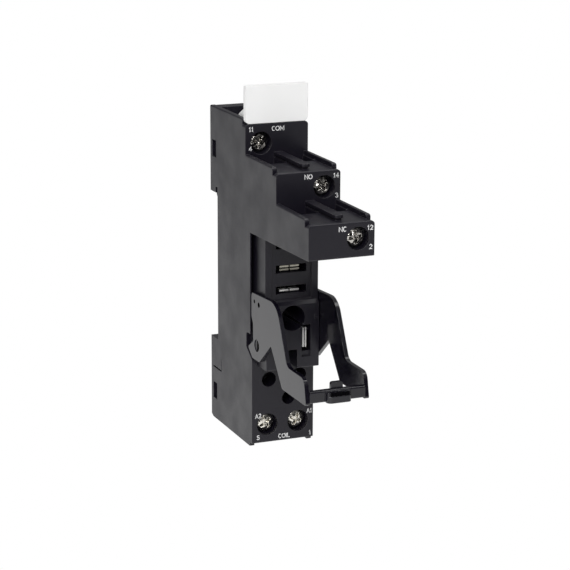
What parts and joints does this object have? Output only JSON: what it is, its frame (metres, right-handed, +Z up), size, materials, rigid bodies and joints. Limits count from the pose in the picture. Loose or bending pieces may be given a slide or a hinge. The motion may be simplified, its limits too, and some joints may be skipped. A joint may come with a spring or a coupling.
{
  "type": "relay socket",
  "caption": "Rail-mounted relay socket with stepped screw terminals, a plug-in seat, a swinging holding lever and a marker tag.",
  "frame": {"origin": "centre of the rail seat, on the rail's front face and at the rail's mid height", "axes": "+X to the right seen from the front, +Y from the front towards the rail, +Z up towards the marker tag"},
  "size_m": [0.016, 0.0623, 0.089],
  "materials": {
    "black_plastic": "fine spark-eroded matte",
    "white_plastic": "smooth matte",
    "spring_steel": "drawn wire",
    "nickel_screw": "bright nickel plate",
    "clamp_steel": "zinc plate",
    "contact_metal": "tin-plated copper alloy"
  },
  "bodies": {
    "socket": {"housing": "black_plastic", "upper_rear_cover": "black_plastic", "lower_rear_cover": "black_plastic", "marker_tag": "white_plastic", "com_contact": "contact_metal", "no_contact": "contact_metal", "nc_contact": "contact_metal", "a1_contact": "contact_metal", "a2_contact": "contact_metal"},
    "lever": {"lever": "black_plastic"},
    "latch": {"rail_latch": "black_plastic", "latch_spring": "spring_steel"},
    "com_screw": {"com_screw": "nickel_screw"},
    "com_cage": {"com_cage": "clamp_steel"},
    "no_screw": {"no_screw": "nickel_screw"},
    "no_cage": {"no_cage": "clamp_steel"},
    "nc_screw": {"nc_screw": "nickel_screw"},
    "nc_cage": {"nc_cage": "clamp_steel"},
    "a1_screw": {"a1_screw": "nickel_screw"},
    "a1_cage": {"a1_cage": "clamp_steel"},
    "a2_screw": {"a2_screw": "nickel_screw"},
    "a2_cage": {"a2_cage": "clamp_steel"}
  },
  "joints": [
    {"name": "lever_swing", "type": "hinge", "parent": "socket", "child": "lever", "pos_m": [0, -0.0258, -0.0144], "axis": [1, 0, 0], "range_deg": [0, 28]},
    {"name": "latch_slide", "type": "slide", "parent": "socket", "child": "latch", "axis": [0, 0, -1], "range_m": [0, 0.0025], "stiffness_N_per_m": 1200, "springref_m": -0.0015, "deforming": ["latch_spring"]},
    {"name": "com_screw_turn", "type": "hinge", "parent": "socket", "child": "com_screw", "pos_m": [-0.004, -0.0169, 0.0331], "axis": [0, -1, 0], "range_deg": [0, 1440]},
    {"name": "com_cage_travel", "type": "slide", "parent": "socket", "child": "com_cage", "axis": [0, 1, 0], "range_m": [0, 0.002]},
    {"name": "no_screw_turn", "type": "hinge", "parent": "socket", "child": "no_screw", "pos_m": [0.004, -0.0362, 0.0257], "axis": [0, -1, 0], "range_deg": [0, 1440]},
    {"name": "no_cage_travel", "type": "slide", "parent": "socket", "child": "no_cage", "axis": [0, 1, 0], "range_m": [0, 0.002]},
    {"name": "nc_screw_turn", "type": "hinge", "parent": "socket", "child": "nc_screw", "pos_m": [0.004, -0.0553, 0.0176], "axis": [0, -1, 0], "range_deg": [0, 1440]},
    {"name": "nc_cage_travel", "type": "slide", "parent": "socket", "child": "nc_cage", "axis": [0, 1, 0], "range_m": [0, 0.002]},
    {"name": "a1_screw_turn", "type": "hinge", "parent": "socket", "child": "a1_screw", "pos_m": [0.004, -0.0211, -0.0353], "axis": [0, -1, 0], "range_deg": [0, 1440]},
    {"name": "a1_cage_travel", "type": "slide", "parent": "socket", "child": "a1_cage", "axis": [0, 1, 0], "range_m": [0, 0.002]},
    {"name": "a2_screw_turn", "type": "hinge", "parent": "socket", "child": "a2_screw", "pos_m": [-0.004, -0.0211, -0.0353], "axis": [0, -1, 0], "range_deg": [0, 1440]},
    {"name": "a2_cage_travel", "type": "slide", "parent": "socket", "child": "a2_cage", "axis": [0, 1, 0], "range_m": [0, 0.002]}
  ],
  "couplings": [
    {"joint": "com_screw_turn", "follows": "com_cage_travel", "rad_per_m": 12566},
    {"joint": "no_screw_turn", "follows": "no_cage_travel", "rad_per_m": 12566},
    {"joint": "nc_screw_turn", "follows": "nc_cage_travel", "rad_per_m": 12566},
    {"joint": "a1_screw_turn", "follows": "a1_cage_travel", "rad_per_m": 12566},
    {"joint": "a2_screw_turn", "follows": "a2_cage_travel", "rad_per_m": 12566}
  ]
}
